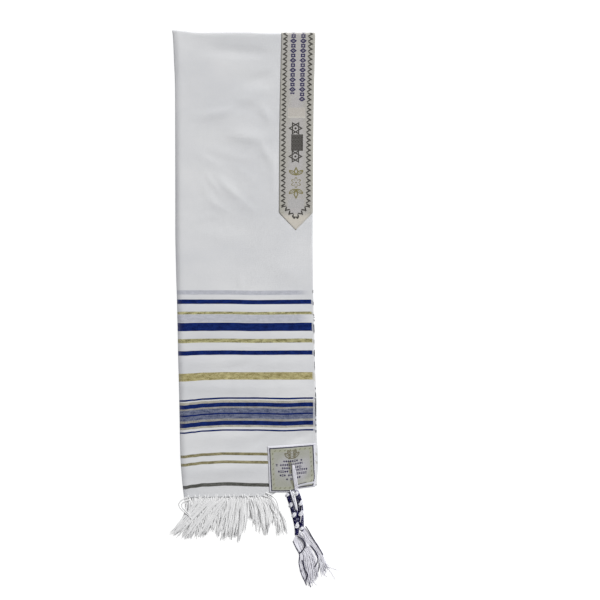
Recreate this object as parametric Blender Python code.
"""A prayer shawl of white cloth with woven stripes, folded in four and lying flat.

The cloth is folded once along its length and once across. One quarter of it shows, with the neckband,
the corner patch, the fringe and two tassels, and the other three quarters lie under it. The layout is in
millimetres from the top left corner of the folded cloth: across to the right, down towards the hem, and
up from the surface beneath.
"""

import math
from collections import namedtuple

import bmesh
import bpy
from mathutils import Vector

MM = 0.001

# Driving sizes, in millimetres
CLOTH_WALL = 1.5
SEAM_GAP = 0.3
LAYER_PITCH = CLOTH_WALL + SEAM_GAP
FRONT_TOP = 3 * LAYER_PITCH + CLOTH_WALL
SIDE_FOLD_RADIUS = 2.4
TOP_FOLD_RADIUS = 3.2
FOLD_STEPS = 3
LIP_CLEARANCE = 0.45
PANEL_COLUMNS = 18
PANEL_ROWS = 52

# The loft between the folds, and the distances over which it and the creases fade towards an edge
LOFT = 1.6
LOFT_SIDE_FADE = 70
LOFT_HEM_FADE = 60
FOLD_ROUNDING = 13
CREASE_SIDE_FADE = 30
CREASE_HEM_FADE = 30
CREASE_TOP_FADE = 14

# Where the rolled lip changes from the side fold's depth to the top fold's, and where the inner fold starts
CORNER_START = 10
CORNER_BLEND = 18
INNER_FOLD_START = 32
INNER_FOLD_BLEND = 20

# The hidden layers' outlines
SIDE_STOPS = 16
END_STOPS = 14
WALL_CLEARANCE = 0.9
GROOVE = 5
SOFT_EDGE = 0.5

BAND_WIDTH = 67
BAND_WALL = 1.0
BAND_SIDE_GAP = 0.3
BAND_SHOULDER = 361.5
BAND_TIP = 396
BAND_LIP = 2.3
BAND_COLUMNS = 4
BAND_ROWS = 21

PATCH_WALL = 1.0
PATCH_CELLS = 10
TRIM_LIFT = 0.4

FRINGE_LEFT = 26.5
FRINGE_RIGHT = 194
FRINGE_STRIP = 3
UNDER_HEM_STEP = 1
LOCK_STEPS = 7
LOCK_ROOT = 0.66
LOCK_UNEVEN = 3
LOCK_WAVE = 2.4
LOCK_SETTLES = 0.35
LOCK_TAPER = 0.3

TASSEL_SIDES = 12
KNOT_GROWTH = 1.07
KNOT_REACH = 3.6
KNOT_SOFTNESS = 2.6
KNOT_FLATNESS = 0.7
HEAD_DOME = 1.5
STRAND_STEPS = 8
STRAND_HALF = 1.4
STRAND_ROOT = 0.6
STRAND_SETTLES = 0.3
STRAND_START = 0.4
STRAND_FILLS = 0.5
STRAND_TAPER = 0.35
UPPER_STRAND_REST = 6.0
LOWER_STRAND_REST = 1.9

# The folded cloth's two sides, row by row down from the top fold
Side = namedtuple("Side", "down left right")
SIDES = [
    Side(0, 0, 284),
    Side(14, 2, 283.8),
    Side(59, 4, 282.8),
    Side(107, 6, 281.6),
    Side(200, 6.5, 280),
    Side(337, 6.7, 279.2),
    Side(416, 6.9, 278.7),
    Side(495, 8.7, 279.4),
    Side(535, 10, 280),
    Side(574, 10.8, 281.2),
    Side(634, 12, 282.3),
    Side(693, 13.5, 283.8),
    Side(733, 14.5, 285.8),
    Side(772, 15.2, 286),
    Side(812, 15.8, 286.8),
    Side(851, 17, 289),
    Side(891, 20, 287.2),
    Side(927, 24, 286.4),
]

# Its top fold and its hem, from left to right
End = namedtuple("End", "across top hem")
ENDS = [
    End(0, 0, 927),
    End(12, 0, 927),
    End(30, 2, 927),
    End(50, 4, 926.5),
    End(100, 4, 925.5),
    End(150, 4, 924.5),
    End(190, 6, 923),
    End(206, 6, 915.5),
    End(246, 6, 909),
    End(262, 6, 905),
    End(289, 6, 901),
]

# How far each hidden layer reaches past the front panel's right side
Peek = namedtuple("Peek", "down second third back")
PEEKS = [
    Peek(0, -4, -3, -5),
    Peek(440, -2, -2, -1),
    Peek(535, -0.6, 0.2, -0.4),
    Peek(600, 0.4, -0.5, 0.6),
    Peek(677, 0.2, 0.7, -0.3),
    Peek(745, 0.8, 0.3, 0.6),
    Peek(800, -0.4, 0.6, -0.8),
    Peek(870, -1, 0.5, -2),
    Peek(927, -3, -2, -2),
]

# The largest troughs and ridges of the front panel; turn is in degrees from across towards down
Crease = namedtuple("Crease", "across down length width turn height")
CREASES = [
    Crease(125, 42, 200, 14, 4, -1.4),
    Crease(166, 99, 90, 11, -20, -1.2),
    Crease(168, 124, 85, 12, -10, 0.9),
    Crease(86, 167, 90, 9, -14, 1.3),
    Crease(150, 140, 75, 11, 0, 0.9),
    Crease(188, 168, 65, 10, 52, 1.0),
    Crease(150, 214, 85, 10, 6, 1.5),
    Crease(192, 250, 85, 10, 56, 1.3),
    Crease(107, 312, 80, 10, 46, 1.2),
    Crease(95, 408, 130, 18, 5, 0.8),
    Crease(145, 657, 600, 12, 0, 0.9),
    Crease(145, 705, 600, 11, 0, 0.8),
    Crease(110, 806, 200, 13, -3, 0.9),
    Crease(100, 872, 190, 12, -4, 0.9),
]

# The corner patch: its upper and lower corners, its lower side by shares from the left, and its creases
Corner = namedtuple("Corner", "across down")
PATCH_TOP = (Corner(188.7, 824.3), Corner(283.9, 817.7))
PATCH_BOTTOM_ACROSS = (193.1, 283.9)
Edge = namedtuple("Edge", "share down")
PATCH_BOTTOM = [
    Edge(0, 915),
    Edge(0.3, 915.6),
    Edge(0.5, 914.2),
    Edge(0.62, 909),
    Edge(0.7, 907.2),
    Edge(1, 903.6),
]
PATCH_CREASES = [
    Crease(266, 896, 46, 5.5, -22, 2.4),
    Crease(232, 873, 50, 8, 78, -0.25),
]

# Groups of fringe locks: where they leave the hem, where their tips lie, and how far they bow to the right
Clump = namedtuple("Clump", "locks root_from root_to tip_from tip_to tip_down bow")
FRONT_CLUMPS = [
    Clump(4, 25, 48, -2, 20, 1002, -7),
    Clump(4, 48, 71, 25, 48, 1010, -3),
    Clump(4, 71, 93, 57, 85, 1005, 1),
    Clump(4, 93, 115, 92, 112, 1013, 2),
    Clump(6, 115, 150, 118, 143, 1019, 3),
    Clump(3, 150, 167, 167, 182, 1005, 4),
    Clump(3, 167, 183, 192, 208, 1003, 7),
    Clump(2, 183, 194, 218, 229, 997, 6),
]
UNDER_CLUMPS = [
    Clump(3, 25, 43, 3, 18, 992, -9),
    Clump(5, 43, 72, 33, 62, 998, -5),
    Clump(4, 72, 95, 70, 92, 1012, -2),
    Clump(5, 95, 124, 100, 127, 1001, 2),
    Clump(4, 124, 148, 133, 150, 996, 2),
    Clump(4, 148, 170, 170, 193, 992, 6),
    Clump(4, 170, 194, 199, 216, 990, 9),
]

# The two fringes: the strip's lower and upper face, the height at which locks rest, the strip's place beside
# the front hem, and half a lock's width and height
Fringe = namedtuple("Fringe", "name clumps low high rest hem_gap half_width half_height")
FRINGES = [
    Fringe("fringe_front", FRONT_CLUMPS, FRONT_TOP - CLOTH_WALL, FRONT_TOP, 4.3, SEAM_GAP, 1.9, 0.9),
    Fringe("fringe_under", UNDER_CLUMPS, 0.4, FRONT_TOP - LAYER_PITCH, 1.6, -0.5, 1.9, 1.1),
]

# The middle line of each tassel, from its first end to the end of its knotted head
Stop = namedtuple("Stop", "along across down up half_width half_height")
LEFT_HEAD = [
    Stop(0, 232.0, 913.5, 3.2, 2.4, 1.5),
    Stop(8, 230.8, 920.5, 4.6, 4.7, 3.8),
    Stop(17, 233.2, 929, 5.0, 4.9, 3.9),
    Stop(28.5, 236.9, 940, 5.0, 5.0, 3.9),
    Stop(49, 242.3, 960, 5.0, 5.1, 3.9),
    Stop(70.5, 246.7, 980.9, 5.0, 4.8, 3.8),
    Stop(82.5, 247.2, 993, 4.9, 4.2, 3.6),
    Stop(90, 246.7, 1000.5, 4.8, 3.7, 3.3),
]
RIGHT_CORD = [
    Stop(0, 240.2, 862, 0, 1.4, 0.7),
    Stop(6, 241, 868, 0, 3.0, 1.2),
    Stop(26, 243.8, 888, 0, 3.1, 1.3),
    Stop(44, 246.3, 906, 0, 3.4, 1.6),
]
RIGHT_HEAD = [
    Stop(53, 246.7, 914.5, 12.2, 4.2, 2.8),
    Stop(62, 249.5, 923.3, 10.0, 5.2, 3.7),
    Stop(76.5, 252.9, 937.1, 6.6, 5.4, 3.9),
    Stop(86, 254.1, 946, 5.4, 5.4, 4.0),
    Stop(96.5, 254.8, 956.3, 5.0, 5.3, 4.0),
    Stop(107.5, 255.6, 967.2, 5.0, 5.0, 4.0),
    Stop(120.5, 256.5, 980, 5.0, 4.5, 3.8),
    Stop(132, 256.7, 991.5, 4.8, 3.9, 3.3),
]
LEFT_KNOTS = (8, 28.5, 49, 70.5)
RIGHT_KNOTS = (55, 75.5, 97, 109.5, 127)

# Where a head or cord also has a ring of points, apart from its knots
LEFT_PLAIN_STOPS = (18.5, 39, 60, 80)
RIGHT_PLAIN_STOPS = (6, 16, 26, 36, 44, 49, 67, 87, 118)

# Where the loose strands pass half way and end: the upper ones from left to right, then the lower ones back
Strand = namedtuple("Strand", "belly_across belly_down tip_across tip_down")
LEFT_STRANDS = [
    Strand(252, 1040, 262, 1094),
    Strand(258, 1043, 267, 1099),
    Strand(264, 1044, 272, 1104),
    Strand(270, 1043, 277, 1102),
    Strand(275.5, 1041, 282, 1096),
    Strand(280.2, 1039, 287, 1086),
    Strand(278.9, 1042.5, 285.5, 1093),
    Strand(273, 1045, 280, 1099),
    Strand(267, 1047, 274.5, 1103),
    Strand(261, 1047, 269.5, 1099),
    Strand(255, 1045, 264, 1092),
    Strand(249.5, 1041, 258, 1086),
]
RIGHT_STRANDS = [
    Strand(287, 1043, 297, 1080),
    Strand(289.4, 1040.5, 303, 1080),
    Strand(291.8, 1037.8, 308, 1075),
    Strand(294.2, 1034.8, 314, 1070),
    Strand(296.7, 1031.4, 322, 1067),
    Strand(300, 1026.4, 329, 1060),
    Strand(298, 1031, 325, 1069),
    Strand(295.5, 1034.5, 318, 1074),
    Strand(293, 1038, 312, 1079),
    Strand(290.5, 1041, 306, 1083),
    Strand(288.5, 1043.7, 300, 1085),
    Strand(286, 1046.6, 294, 1078),
]

# Colours, as red, green and blue in Blender's linear values
WHITE_CLOTH = (0.60, 0.62, 0.64)
SILVER_WEAVE = (0.42, 0.41, 0.38)
TASSEL_WHITE = (0.66, 0.67, 0.72)
FRINGE_WHITE = (0.68, 0.69, 0.71)


def clear_scene():
    for thing in list(bpy.data.objects):
        bpy.data.objects.remove(thing, do_unlink=True)


def place(across, down, up):
    """Turns a place in the layout into Blender's metres."""
    return Vector((across, -down, up)) * MM


def ease(share):
    """Goes smoothly from 0 to 1."""
    share = min(max(share, 0), 1)
    return share * share * (3 - 2 * share)


def read(rows, at, column):
    """Reads a column of a table at any place along it, on one smooth curve through its rows."""
    key = rows[0]._fields[0]
    stops = [getattr(row, key) for row in rows]
    values = [getattr(row, column) for row in rows]
    if at <= stops[0]:
        return values[0]
    if at >= stops[-1]:
        return values[-1]
    index = max(i for i in range(len(rows) - 1) if stops[i] <= at)

    def slope(i):
        before = max(i - 1, 0)
        after = min(i + 1, len(rows) - 1)
        return (values[after] - values[before]) / (stops[after] - stops[before])

    span = stops[index + 1] - stops[index]
    t = (at - stops[index]) / span
    value = (2 * t**3 - 3 * t**2 + 1) * values[index]
    value += (3 * t**2 - 2 * t**3) * values[index + 1]
    value += (t**3 - 2 * t**2 + t) * span * slope(index)
    value += (t**3 - t**2) * span * slope(index + 1)
    return value


def crease_rise(crease, across, down):
    """The height that one crease adds at a point: a soft bell across it, tapered along it."""
    turn = math.radians(crease.turn)
    right = across - crease.across
    below = down - crease.down
    along = right * math.cos(turn) + below * math.sin(turn)
    aside = below * math.cos(turn) - right * math.sin(turn)
    reach = 2 * abs(along) / crease.length
    if reach >= 1:
        return 0
    return crease.height * (1 - reach**2) ** 2 * math.exp(-((aside / crease.width) ** 2))


def panel_top(across, down):
    """The height of the front panel's upper face, with its loft and its creases."""
    from_right = read(SIDES, down, "right") - across
    from_left = across - read(SIDES, down, "left")
    from_hem = read(ENDS, across, "hem") - down
    from_top = down - read(ENDS, across, "top")
    rounding = max(0, 1 - from_left / FOLD_ROUNDING) ** 2
    loft = LOFT * ease(from_right / LOFT_SIDE_FADE) * ease(from_hem / LOFT_HEM_FADE) * (1 - rounding)
    from_band = from_right - BAND_WIDTH * (1 - ease((down - BAND_TIP) / CREASE_SIDE_FADE))
    free = ease(from_band / CREASE_SIDE_FADE)
    free *= ease(from_hem / CREASE_HEM_FADE) * ease(from_top / CREASE_TOP_FADE)
    creases = sum(crease_rise(crease, across, down) for crease in CREASES)
    return FRONT_TOP + max(0, loft + creases * free)


def new_object(name, mesh_maker, colour, roughness, smooth=True, metallic=0.0):
    """Makes one named object with its own material from a bmesh."""
    data = bpy.data.meshes.new(name)
    bmesh.ops.recalc_face_normals(mesh_maker, faces=mesh_maker.faces)
    mesh_maker.to_mesh(data)
    mesh_maker.free()
    if smooth:
        data.shade_smooth()
        data.set_sharp_from_angle(angle=math.radians(50))
    material = bpy.data.materials.new(name)
    material.use_nodes = True
    shader = material.node_tree.nodes["Principled BSDF"]
    shader.inputs["Base Color"].default_value = (*colour, 1)
    shader.inputs["Roughness"].default_value = roughness
    shader.inputs["Metallic"].default_value = metallic
    data.materials.append(material)
    thing = bpy.data.objects.new(name, data)
    bpy.context.scene.collection.objects.link(thing)
    return thing


def thicken(thing, wall, side):
    """Gives an open sheet its wall: side is 1 to grow outwards and -1 to grow inwards."""
    solidify = thing.modifiers.new("wall", "SOLIDIFY")
    solidify.thickness = wall * MM
    solidify.offset = side
    solidify.use_even_offset = True


def fill_grid(mesh, rows):
    """Joins rows of points, each as long as the next, into quads that face up."""
    for upper, lower in zip(rows, rows[1:]):
        for i in range(len(upper) - 1):
            mesh.faces.new((upper[i], lower[i], lower[i + 1], upper[i + 1]))


def panel_share_point(across_share, down_share):
    """Places a point of the panel's flat part by its shares of the way across and down."""
    down = down_share * SIDES[-1].down
    for _ in range(4):
        left = read(SIDES, down, "left") + SIDE_FOLD_RADIUS
        right = read(SIDES, down, "right")
        across = left + (right - left) * across_share
        top = read(ENDS, across, "top") + TOP_FOLD_RADIUS
        hem = read(ENDS, across, "hem")
        down = top + (hem - top) * down_share
    return across, down


def fold_lip(across, down):
    """How low the folded edge reaches: to the third layer at the side, to the back layer at the top."""
    side_share = ease((down - CORNER_START) / CORNER_BLEND)
    top_share = ease((across - read(SIDES, down, "left") - CORNER_START) / CORNER_BLEND)
    back_clear = CLOTH_WALL + LIP_CLEARANCE
    third_clear = LAYER_PITCH + CLOTH_WALL + LIP_CLEARANCE
    return back_clear + (third_clear - back_clear) * side_share * (1 - top_share)


def make_front_panel():
    """The quarter that shows: a flat part with creases, and two folds rolled down round its left and top."""
    mesh = bmesh.new()
    rows = []
    for row in range(PANEL_ROWS + 1):
        points = []
        for column in range(PANEL_COLUMNS + 1):
            across, down = panel_share_point(column / PANEL_COLUMNS, row / PANEL_ROWS)
            points.append(mesh.verts.new(place(across, down, panel_top(across, down))))
        rows.append(points)
    fill_grid(mesh, rows)
    brink = [row[0] for row in reversed(rows)] + rows[0][1:]
    corner = PANEL_ROWS
    outer = [brink]
    for step in range(1, FOLD_STEPS + 2):
        angle = math.radians(90 * min(step / FOLD_STEPS, 1))
        ring = []
        for i, vertex in enumerate(brink):
            left_move = -SIDE_FOLD_RADIUS * math.sin(angle) if i <= corner else 0
            top_move = TOP_FOLD_RADIUS * math.sin(angle) if i >= corner else 0
            radius = SIDE_FOLD_RADIUS if i < corner else TOP_FOLD_RADIUS
            point = vertex.co + Vector((left_move, top_move, -radius * (1 - math.cos(angle)))) * MM
            if step > FOLD_STEPS:
                point.z = fold_lip(point.x / MM, -point.y / MM) * MM
            ring.append(mesh.verts.new(point))
        outer.append(ring)
    fill_grid(mesh, outer[::-1])
    panel = new_object("front_panel", mesh, WHITE_CLOTH, 0.85)
    thicken(panel, CLOTH_WALL, -1)
    return panel


def layer_rim(left_inset, top_inset, peek, inset):
    """One hidden layer's outline, as places across and down, all the way round."""

    def rim_point(across_share, down_share):
        down = down_share * SIDES[-1].down
        for _ in range(4):
            left = read(SIDES, down, "left") + left_inset(down) + inset
            right = read(SIDES, down, "right") + read(PEEKS, down, peek) - inset
            across = left + (right - left) * across_share
            top = read(ENDS, across, "top") + top_inset + inset
            hem = read(ENDS, across, "hem") - UNDER_HEM_STEP - inset
            down = top + (hem - top) * down_share
        return across, down

    corner_stops = [0.015, 0.03, 0.045]
    side_stops = [0] + corner_stops + [i / SIDE_STOPS for i in range(1, SIDE_STOPS)]
    end_stops = [i / END_STOPS for i in range(END_STOPS)]
    rim = [rim_point(0, share) for share in side_stops]
    rim += [rim_point(share, 1) for share in end_stops]
    rim += [rim_point(1, 1 - i / SIDE_STOPS) for i in range(SIDE_STOPS)]
    rim += [rim_point(1 - share, 0) for share in end_stops]
    return rim


def stacked_solid(name, rings):
    """A closed solid through level rings of points, from the lowest to the highest."""
    mesh = bmesh.new()
    levels = []
    for rim, up in rings:
        levels.append([mesh.verts.new(place(across, down, up)) for across, down in rim])
    for lower, upper in zip(levels, levels[1:]):
        for i in range(len(lower)):
            j = (i + 1) % len(lower)
            mesh.faces.new((lower[i], lower[j], upper[j], upper[i]))
    mesh.faces.new(levels[0][::-1])
    mesh.faces.new(levels[-1])
    return new_object(name, mesh, WHITE_CLOTH, 0.85, smooth=False)


def make_layer(name, level, left_inset, top_inset, peek):
    """One hidden layer as a slab with softened edges, on its own level."""
    low = level * LAYER_PITCH
    high = low + CLOTH_WALL
    rings = []
    for up, inset in ((low, SOFT_EDGE), (low + SOFT_EDGE, 0), (high - SOFT_EDGE, 0), (high, SOFT_EDGE)):
        rings.append((layer_rim(left_inset, top_inset, peek, inset), up))
    return stacked_solid(name, rings)


def make_under_layers():
    """The three hidden quarters as one solid, parted by grooves at its edges, with the fold at the left."""
    clear_of_wall = CLOTH_WALL + WALL_CLEARANCE

    def at_fold(down):
        return 0

    def beside_corner(down):
        return clear_of_wall * (1 - ease((down - INNER_FOLD_START) / INNER_FOLD_BLEND))

    def inside_fold(down):
        return clear_of_wall

    body = make_layer("under_layers", 0, at_fold, 0, "back")
    third = make_layer("third_layer", 1, beside_corner, clear_of_wall, "third")
    second = make_layer("second_layer", 2, inside_fold, clear_of_wall, "second")
    top_inset = clear_of_wall + GROOVE
    middle_of_wall = CLOTH_WALL / 2
    fold_rim = layer_rim(lambda down: beside_corner(down) + SOFT_EDGE, top_inset, "back", 0)
    right_limit = SIDES[0].right - BAND_WIDTH
    hem_limit = ENDS[-1].hem - GROOVE
    fold_rim = [(min(across, right_limit), min(down, hem_limit)) for across, down in fold_rim]
    core_rim = layer_rim(inside_fold, top_inset, "second", GROOVE)
    core_low = middle_of_wall + 0.2
    core_high = 2 * LAYER_PITCH + middle_of_wall
    joins = [
        third,
        second,
        stacked_solid("inner_fold", [(fold_rim, middle_of_wall), (fold_rim, LAYER_PITCH + middle_of_wall)]),
        stacked_solid("core", [(core_rim, core_low), (core_rim, core_high)]),
    ]
    for join in joins:
        join.hide_render = True
        join.display_type = "WIRE"
        union = body.modifiers.new("join " + join.name, "BOOLEAN")
        union.operation = "UNION"
        union.object = join
    return body


def make_neckband():
    """The woven band: up the back of the top fold, over it and down the panel to its point."""
    mesh = bmesh.new()

    def band_row(down, width=1.0, angle=0.0, lip=False):
        """A row of the band on the panel, or on the fold where its angle from straight up isn't 0."""
        middle = read(SIDES, down, "right") - BAND_SIDE_GAP - BAND_WIDTH / 2
        row = []
        for column in range(BAND_COLUMNS + 1):
            across = middle + BAND_WIDTH * width * (column / BAND_COLUMNS - 0.5)
            back = (TOP_FOLD_RADIUS + TRIM_LIFT) * math.sin(angle)
            drop = (TOP_FOLD_RADIUS + TRIM_LIFT) * (1 - math.cos(angle))
            height = BAND_LIP if lip else panel_top(across, down) + TRIM_LIFT - drop
            row.append(mesh.verts.new(place(across, down - back, height)))
        return row

    start = read(ENDS, SIDES[0].right - BAND_WIDTH / 2, "top") + TOP_FOLD_RADIUS
    rows = [band_row(start, angle=math.pi / 2, lip=True)]
    for step in range(FOLD_STEPS, 0, -1):
        rows.append(band_row(start, angle=math.pi / 2 * step / FOLD_STEPS))
    for row in range(BAND_ROWS + 1):
        rows.append(band_row(start + (BAND_SHOULDER - start) * row / BAND_ROWS))
    rows.append(band_row((BAND_SHOULDER + BAND_TIP) / 2, width=0.5))
    fill_grid(mesh, rows)
    tip_across = read(SIDES, BAND_TIP, "right") - BAND_SIDE_GAP - BAND_WIDTH / 2
    tip = mesh.verts.new(place(tip_across, BAND_TIP, panel_top(tip_across, BAND_TIP) + TRIM_LIFT))
    for i in range(BAND_COLUMNS):
        mesh.faces.new((rows[-1][i], tip, rows[-1][i + 1]))
    band = new_object("neckband", mesh, SILVER_WEAVE, 0.55)
    thicken(band, BAND_WALL, 1)
    return band


def patch_place(across_share, down_share):
    """A point of the corner patch by its shares of the way across and down."""
    left = PATCH_TOP[0].across + (PATCH_BOTTOM_ACROSS[0] - PATCH_TOP[0].across) * down_share
    right = PATCH_TOP[1].across + (PATCH_BOTTOM_ACROSS[1] - PATCH_TOP[1].across) * down_share
    top = PATCH_TOP[0].down + (PATCH_TOP[1].down - PATCH_TOP[0].down) * across_share
    bottom = read(PATCH_BOTTOM, across_share, "down")
    return left + (right - left) * across_share, top + (bottom - top) * down_share


def patch_seat(across, down):
    """The height of the patch's underside: the panel's face, lifted where the patch is crumpled."""
    crumple = sum(crease_rise(crease, across, down) for crease in PATCH_CREASES)
    return panel_top(across, down) + TRIM_LIFT + max(0, crumple)


def make_corner_patch():
    mesh = bmesh.new()
    rows = []
    for row in range(PATCH_CELLS + 1):
        points = []
        for column in range(PATCH_CELLS + 1):
            across, down = patch_place(column / PATCH_CELLS, row / PATCH_CELLS)
            points.append(mesh.verts.new(place(across, down, patch_seat(across, down))))
        rows.append(points)
    fill_grid(mesh, rows)
    patch = new_object("corner_patch", mesh, SILVER_WEAVE, 0.5)
    thicken(patch, PATCH_WALL, 1)
    return patch


def frame_at(path, index):
    """The right and upward directions of a path at one of its points, square to the way ahead."""
    ahead = path[min(index + 1, len(path) - 1)] - path[max(index - 1, 0)]
    right = ahead.cross(Vector((0, 0, 1))).normalized()
    return right, right.cross(ahead).normalized()


def bridge(mesh, first, second):
    """Joins two rings of points that have as many sides."""
    for i in range(len(first)):
        j = (i + 1) % len(first)
        mesh.faces.new((first[i], first[j], second[j], second[i]))


def grow_strand(mesh, root, path, halves):
    """Grows a strand from a ring of points along a path, with half its width and height at each point."""
    right, lift = frame_at(path, 0)
    angles = []
    for vertex in root:
        spoke = vertex.co - path[0]
        angles.append(math.atan2(spoke.dot(lift), spoke.dot(right)))
    ring = root
    for index in range(1, len(path)):
        right, lift = frame_at(path, index)
        half_width, half_height = halves[index]
        points = []
        for angle in angles:
            offset = right * math.cos(angle) * half_width + lift * math.sin(angle) * half_height
            points.append(mesh.verts.new(path[index] + offset * MM))
        bridge(mesh, ring, points)
        ring = points
    mesh.faces.new(ring)


def shrink(mesh, corners, share):
    """A smaller ring inside a face's corners, joined to them all round: the root of a strand."""
    middle = sum((corner.co for corner in corners), Vector()) / len(corners)
    ring = [mesh.verts.new(middle.lerp(corner.co, share)) for corner in corners]
    bridge(mesh, corners, ring)
    return ring, middle


def clump_locks(clumps):
    """Spreads the locks of each group between its two sides: root across, tip across, tip down and bow."""
    locks = []
    for clump in clumps:
        for i in range(clump.locks):
            share = (i + 0.5) / clump.locks
            root = clump.root_from + (clump.root_to - clump.root_from) * share
            tip = clump.tip_from + (clump.tip_to - clump.tip_from) * share
            tip_down = clump.tip_down + LOCK_UNEVEN * math.sin(LOCK_WAVE * root)
            locks.append((root, tip, tip_down, clump.bow))
    return locks


def make_fringe(fringe):
    """A narrow strip along a hem with its locks, which come down from the strip to where they rest."""
    mesh = bmesh.new()
    locks = clump_locks(fringe.clumps)
    roots = [lock[0] for lock in locks]
    bounds = [FRINGE_LEFT] + [(a + b) / 2 for a, b in zip(roots, roots[1:])] + [FRINGE_RIGHT]
    posts = []
    for across in bounds:
        top = read(ENDS, across, "hem") + fringe.hem_gap
        bottom = top + FRINGE_STRIP
        corners = ((top, fringe.low), (top, fringe.high), (bottom, fringe.high), (bottom, fringe.low))
        posts.append([mesh.verts.new(place(across, down, up)) for down, up in corners])
    mesh.faces.new(posts[0])
    mesh.faces.new(posts[-1][::-1])
    for index, (root, tip, tip_down, bow) in enumerate(locks):
        near = posts[index]
        far = posts[index + 1]
        for side in (0, 1, 3):
            after = (side + 1) % 4
            mesh.faces.new((near[side], far[side], far[after], near[after]))
        ring, middle = shrink(mesh, (near[2], far[2], far[3], near[3]), LOCK_ROOT)
        start_across = middle.x / MM
        start_down = -middle.y / MM
        start_up = middle.z / MM
        path = [middle]
        halves = [(fringe.half_width, fringe.half_height)]
        for step in range(1, LOCK_STEPS + 1):
            share = step / LOCK_STEPS
            lean = (ease(share) + share) / 2
            across = start_across + (tip - start_across) * lean + bow * math.sin(math.pi * share**0.7)
            down = start_down + (tip_down - start_down) * share
            up = start_up + (fringe.rest - start_up) * ease(share / LOCK_SETTLES)
            path.append(place(across, down, up))
            taper = 1 - LOCK_TAPER * ease((share - 1 + LOCK_TAPER) / LOCK_TAPER)
            halves.append((fringe.half_width * taper, fringe.half_height * taper))
        grow_strand(mesh, ring, path, halves)
    return new_object(fringe.name, mesh, FRINGE_WHITE, 0.9)


def head_stops(knots, first, last):
    """The places along a head where it has a ring: on each knot, at its foot, and between knots."""
    stops = {first, last}
    for knot in knots:
        for offset in (-KNOT_REACH, -KNOT_REACH / 2, 0, KNOT_REACH / 2, KNOT_REACH):
            stops.add(knot + offset)
    return sorted(stop for stop in stops if first <= stop <= last)


def lay_on_patch(stops):
    """The stops of the white cord with their heights worked out, so that it lies on the patch."""
    laid = []
    for stop in stops:
        patch_top = patch_seat(stop.across, stop.down) + PATCH_WALL
        laid.append(stop._replace(up=patch_top + TRIM_LIFT + stop.half_height))
    return laid


def make_tassel(name, stops, knots, strands, plain_stops):
    """A wound and knotted head swept along its middle line, with a loose strand from each part of its end."""
    mesh = bmesh.new()
    first = stops[0].along
    last = stops[-1].along
    places = sorted(set(head_stops(knots, first, last)) | set(plain_stops))
    path = [place(*(read(stops, at, column) for column in ("across", "down", "up"))) for at in places]
    ring = None
    for index, at in enumerate(places):
        bump = (KNOT_GROWTH - 1) * sum(math.exp(-(((at - knot) / KNOT_SOFTNESS) ** 2)) for knot in knots)
        half_width = read(stops, at, "half_width") * (1 + bump)
        half_height = read(stops, at, "half_height") * (1 + bump * KNOT_FLATNESS)
        right, lift = frame_at(path, index)
        points = []
        for side in range(TASSEL_SIDES):
            angle = 2 * math.pi * (side + 0.5) / TASSEL_SIDES
            offset = right * math.cos(angle) * half_width + lift * math.sin(angle) * half_height
            points.append(mesh.verts.new(path[index] + offset * MM))
        if ring is None:
            mesh.faces.new(points)
        else:
            bridge(mesh, ring, points)
        ring = points
    ahead = (path[-1] - path[-2]).normalized()
    centre = mesh.verts.new(path[-1] + ahead * HEAD_DOME * MM)
    for side, strand in enumerate(strands):
        corners = (ring[side], ring[(side + 1) % TASSEL_SIDES], centre)
        root, middle = shrink(mesh, corners, STRAND_ROOT)
        rest = UPPER_STRAND_REST if side < TASSEL_SIDES // 2 else LOWER_STRAND_REST
        start_across = middle.x / MM
        start_down = -middle.y / MM
        start_up = middle.z / MM
        line = [middle]
        halves = [(0, 0)]
        for step in range(1, STRAND_STEPS + 1):
            share = step / STRAND_STEPS
            keep = (1 - share) ** 2
            belly = 2 * share * (1 - share)
            arrive = share**2
            belly_across = 2 * strand.belly_across - (start_across + strand.tip_across) / 2
            belly_down = 2 * strand.belly_down - (start_down + strand.tip_down) / 2
            across = start_across * keep + belly_across * belly + strand.tip_across * arrive
            down = start_down * keep + belly_down * belly + strand.tip_down * arrive
            up = start_up + (rest - start_up) * ease(share / STRAND_SETTLES)
            line.append(place(across, down, up))
            growth = STRAND_START + (1 - STRAND_START) * ease(share / STRAND_FILLS)
            taper = 1 - STRAND_TAPER * ease((share - 1 + STRAND_TAPER) / STRAND_TAPER)
            half = STRAND_HALF * growth * taper
            halves.append((half, half))
        grow_strand(mesh, root, line, halves)
    return new_object(name, mesh, TASSEL_WHITE, 0.85)


def centre_on_floor(things):
    """Hangs every piece on one empty, so that the origin lies under the middle of the shawl, on the floor."""
    bpy.context.view_layer.update()
    graph = bpy.context.evaluated_depsgraph_get()
    lows = [math.inf] * 2
    highs = [-math.inf] * 2
    for thing in things:
        shape = thing.evaluated_get(graph).to_mesh()
        for vertex in shape.vertices:
            for axis in range(2):
                lows[axis] = min(lows[axis], vertex.co[axis])
                highs[axis] = max(highs[axis], vertex.co[axis])
    shawl = bpy.data.objects.new("shawl", None)
    bpy.context.scene.collection.objects.link(shawl)
    shawl.location = (-(lows[0] + highs[0]) / 2, -(lows[1] + highs[1]) / 2, 0)
    for thing in bpy.data.objects:
        if thing is not shawl:
            thing.parent = shawl


def main():
    clear_scene()
    right_stops = lay_on_patch(RIGHT_CORD) + RIGHT_HEAD
    things = [
        make_front_panel(),
        make_under_layers(),
        make_neckband(),
        make_corner_patch(),
        make_fringe(FRINGES[0]),
        make_fringe(FRINGES[1]),
        make_tassel("tassel_left", LEFT_HEAD, LEFT_KNOTS, LEFT_STRANDS, LEFT_PLAIN_STOPS),
        make_tassel("tassel_right", right_stops, RIGHT_KNOTS, RIGHT_STRANDS, RIGHT_PLAIN_STOPS),
    ]
    centre_on_floor(things)


main()
